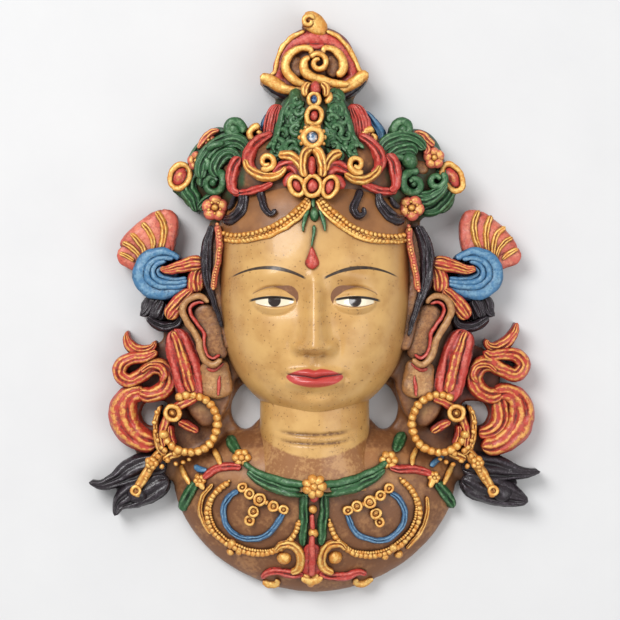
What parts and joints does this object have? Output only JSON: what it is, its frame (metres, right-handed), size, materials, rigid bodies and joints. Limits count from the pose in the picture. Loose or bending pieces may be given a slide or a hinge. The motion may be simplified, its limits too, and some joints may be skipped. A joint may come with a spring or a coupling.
{
  "type": "painted wall mask",
  "caption": "Crowned goddess mask with jewelled collar and earrings, cast in painted resin, with a flat back that is hollow behind the face",
  "frame": {"origin": "centre of the flat back on the surface it lies on, at the middle of the outline", "axes": "X across the face, Y up the face to the crown, Z out of the face"},
  "size_m": [0.2542, 0.3299, 0.0705],
  "materials": {
    "painted_resin": "hand-painted cast resin, semi-gloss, with a brown wash in its hollows",
    "clear_stone": "clear cut rhinestone",
    "blue_stone": "blue glass cabochon"
  },
  "bodies": {
    "root": {"mask": "painted_resin", "crown_stone_clear": "clear_stone", "crown_stone_blue": "blue_stone"}
  },
  "joints": []
}
